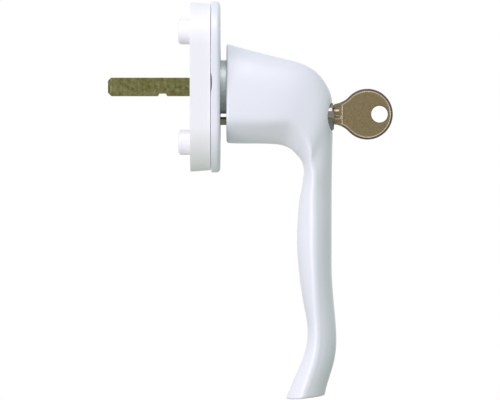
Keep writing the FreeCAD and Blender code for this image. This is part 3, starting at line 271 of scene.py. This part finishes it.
# Key. Stamped from 2 mm brass strip, with milled grooves and a line coined round its bow, and the
# place for a number left bare. The blade and the shank keep the CAD form, with eased edges, and the
# bow is modelled from its outline.
KEY_HALF = 0.001
KEY_EASE = 0.0002
GROOVE_REACH = 0.0024
GROOVE_WALL = -0.3
GROOVE_FLOOR = -0.97
RIM_SIDE = 0.9
BOW_LEFT = 0.0586
BOW_RADIUS = 0.00985
BOW_CENTRE = Vector((0.068695, 0.0, -0.01057))
BLEND_RADIUS = 0.009
BLEND_DROP = 0.01293
BLEND_BACK = math.sqrt((BOW_RADIUS + BLEND_RADIUS) ** 2 - BLEND_DROP ** 2)
BLEND_JOINT = math.atan2(BLEND_DROP, BLEND_BACK)
COIN_INSET = 0.00078
COIN_WIDTH = 0.00036
COIN_DEPTH = 0.00015
COIN_LEFT = BOW_LEFT + 0.0001
BAND_SLOPE = 0.00004
RING_HOLE_RADIUS = 0.00325
RING_HOLE_CENTRE = Vector((0.073395, 0.0, -0.01057))
# The flats are brass dulled by handling, mottled olive and brown.
key_brass = metal("stamped brass dulled by handling", "#8C7E62", "#746748", 0.36, 0.9)
# The cutter leaves the grooves burnished and brighter than the flats, and their near-white colour is
# painted highlight.
burnished_brass_and_painted_highlight = metal("burnished brass and painted highlight", "#F2EBE0", "#D8CFC2", 0.22, 1.0)
# The coining die presses the line smooth. Its pale colour, a little duller than the grooves', is painted
# highlight, the lamp caught in the line's V.
coined_brass_and_painted_highlight = metal("coined brass and painted highlight", "#E6DCCC", "#C8BDAA", 0.26, 0.6)
# The press shears the rim, which stays rough and dark. The band just inside the bow's outline on each flat
# takes the same dark colour as painted shade, where the edge rounds over.
sheared_brass_and_painted_shade = metal("sheared brass and painted shade", "#6A6456", "#4C473B", 0.45, 0.6)


def bow_ring(form, inset, left, y):
    """A closed ring of edges along the bow's outline, moved in by the inset and ended at left."""
    known = len(form.edges)
    low = BOW_CENTRE + Vector((-BLEND_BACK, y, -BLEND_DROP))
    middle = BOW_CENTRE + Vector((0.0, y, 0.0))
    high = BOW_CENTRE + Vector((-BLEND_BACK, y, BLEND_DROP))
    radius = BLEND_RADIUS + inset
    start = math.acos((left - low.x) / radius)
    first = form.verts.new((left, y, low.z + radius * math.sin(start)))
    last = first
    for centre, turn, steps in ((low, BLEND_JOINT - start, 6), (middle, 2 * (math.pi - BLEND_JOINT), 72),
                                (high, BLEND_JOINT - start, 6)):
        made = bmesh.ops.spin(form, geom=[last], cent=centre, axis=(0, -1, 0), angle=turn, steps=steps)
        last = [item for item in made["geom_last"] if isinstance(item, bmesh.types.BMVert)][0]
    form.edges.new((last, first))
    form.edges.ensure_lookup_table()
    return form.edges[known:]


def hole_ring(form, radius, y):
    """A closed ring of edges round the hole for the key ring."""
    known = len(form.edges)
    bmesh.ops.create_circle(form, cap_ends=False, radius=radius, segments=56,
                            matrix=Matrix.Translation(RING_HOLE_CENTRE + Vector((0.0, y, 0.0)))
                            @ Matrix.Rotation(math.radians(90), 4, "X"))
    form.edges.ensure_lookup_table()
    return form.edges[known:]


FLAT, BRIGHT, DARK, LINE = 0, 1, 2, 3
bow = bmesh.new()
face_y = -KEY_HALF
edge_y = KEY_EASE - KEY_HALF
# Over half the thickness: the rim, its eased edge, the band, the coined line and the flat. The band is
# coloured dark as painted shade, and the coined line pale as painted highlight.
rings = [
    (bow_ring(bow, 0.0, BOW_LEFT, 0.0), DARK),
    (bow_ring(bow, 0.0, BOW_LEFT, edge_y), DARK),
    (bow_ring(bow, 0.3 * KEY_EASE, BOW_LEFT, face_y + BAND_SLOPE + 0.3 * KEY_EASE), DARK),
    (bow_ring(bow, KEY_EASE, BOW_LEFT, face_y + BAND_SLOPE), DARK),
    (bow_ring(bow, COIN_INSET, COIN_LEFT, face_y), LINE),
    (bow_ring(bow, COIN_INSET + COIN_WIDTH / 2, COIN_LEFT + COIN_WIDTH / 2, face_y + COIN_DEPTH), LINE),
    (bow_ring(bow, COIN_INSET + COIN_WIDTH, COIN_LEFT + COIN_WIDTH, face_y), FLAT),
]
hole = [hole_ring(bow, RING_HOLE_RADIUS + KEY_EASE, face_y),
        hole_ring(bow, RING_HOLE_RADIUS, edge_y),
        hole_ring(bow, RING_HOLE_RADIUS, 0.0)]
pairs = [(one[0], other[0], one[1]) for one, other in zip(rings, rings[1:])]
pairs += [(one, other, DARK) for one, other in zip(hole, hole[1:])]
bmesh.ops.triangle_fill(bow, use_beauty=True, edges=rings[-1][0] + hole[0])
for one, other, number in pairs:
    for face in bmesh.ops.bridge_loops(bow, edges=one + other)["faces"]:
        face.material_index = number
bmesh.ops.mirror(bow, geom=bow.verts[:] + bow.edges[:] + bow.faces[:], merge_dist=1e-6, axis="Y")
bmesh.ops.remove_doubles(bow, verts=bow.verts, dist=1e-6)
bmesh.ops.recalc_face_normals(bow, faces=bow.faces)
bow_mesh = bpy.data.meshes.new("bow")
bow.to_mesh(bow_mesh)
bow.free()
key = merged("key")
ease(key, KEY_EASE)
bmesh.ops.bisect_plane(key, geom=key.verts[:] + key.edges[:] + key.faces[:], dist=1e-7,
                       plane_co=(BOW_LEFT, 0.0, 0.0), plane_no=(1.0, 0.0, 0.0), clear_outer=True)
bmesh.ops.holes_fill(key, edges=[edge for edge in key.edges if edge.is_boundary])
key.normal_update()
# What lies below the near flat is a groove. The upper one is pale all over, and the lower one only on its
# walls, as painted highlight where the lamp catches them.
# What faces sideways is sheared. The limits are those of the normal's share along Y.
for face in key.faces:
    middle = face.calc_center_median()
    sunk = abs(middle.z - BOW_CENTRE.z) < GROOVE_REACH and middle.y > face_y + TOUCH
    if sunk and face.normal.y < GROOVE_WALL:
        painted_highlight = middle.z > BOW_CENTRE.z or face.normal.y > GROOVE_FLOOR
        face.material_index = BRIGHT if painted_highlight else FLAT
    elif abs(face.normal.y) < RIM_SIDE:
        face.material_index = DARK
key.from_mesh(bow_mesh)
bpy.data.meshes.remove(bow_mesh)
stand_for(show(key, "key_whole", key_brass, burnished_brass_and_painted_highlight, sheared_brass_and_painted_shade, coined_brass_and_painted_highlight),
          "key", "key")

# The studio. A pale floor well below the handle, a white surround and two soft lamps.
# What is seen, directly, mirrored or through a piece, is white above and pale below. What only
# lights the handle has a plain level, with the faint green of daylight in a pale room.
FLOOR_DROP = 0.5
FLOOR_SPAN = 10.4
FLOOR_GLOW = 0.3
FLOOR_GLOW_COLOUR = "#FFF1FE"
AMBIENT_COLOUR = "#BECAC2"
LAMP_COLOUR = "#FFF6FE"


def seen_rays(tree):
    """One for a ray that shows the surround, directly or in a mirror or glass, and else nought."""
    rays = add(tree, "LightPath").outputs
    mirrored = add(tree, "Math", {0: rays["Is Glossy Ray"], 1: rays["Is Transmission Ray"]},
                   operation="MAXIMUM")
    return add(tree, "Math", {0: rays["Is Camera Ray"], 1: mirrored.outputs[0]},
               operation="MAXIMUM").outputs[0]


floor_form = bmesh.new()
bmesh.ops.create_grid(floor_form, x_segments=1, y_segments=1, size=FLOOR_SPAN / 2,
                      matrix=Matrix.Translation((0.0, 0.0, -FLOOR_DROP)))
pale_floor, tree = blank("pale painted floor")
dull = add(tree, "BsdfDiffuse", {"Color": linear("#BCC0B2")})
glow = add(tree, "Math", {0: seen_rays(tree), 1: FLOOR_GLOW}, operation="MULTIPLY")
lit = add(tree, "Emission", {"Color": linear(FLOOR_GLOW_COLOUR), "Strength": glow.outputs[0]})
both = add(tree, "AddShader", {0: dull.outputs[0], 1: lit.outputs[0]})
add(tree, "OutputMaterial", {"Surface": both.outputs[0]})
show(floor_form, "floor", pale_floor)

world = bpy.data.worlds.new("white surround")
bpy.context.scene.world = world
world.use_nodes = True
tree = world.node_tree
tree.nodes.clear()
tint = add(tree, "Mix", {0: seen_rays(tree), 6: linear(AMBIENT_COLOUR), 7: linear("#FFFFFF")},
           data_type="RGBA")
sky = add(tree, "Background", {"Color": tint.outputs[2], "Strength": 1.0})
add(tree, "OutputWorld", {"Surface": sky.outputs[0]})


def lamp(name, place, target, size, power):
    """A square soft lamp that faces its target, unseen by the camera."""
    light = bpy.data.lights.new(name, "AREA")
    light.size = size
    light.energy = power
    light.color = linear(LAMP_COLOUR)[:3]
    item = bpy.data.objects.new(name, light)
    item.location = place
    item.rotation_euler = (Vector(target) - Vector(place)).to_track_quat("-Z", "Y").to_euler()
    item.visible_camera = False
    bpy.context.scene.collection.objects.link(item)


lamp("key_lamp", (0.03, -0.58, 1.01), VIEW_MIDDLE, 0.62, 4.2)
lamp("fill_lamp", (-0.75, -0.92, 0.03), VIEW_MIDDLE, 0.7, 7.2)
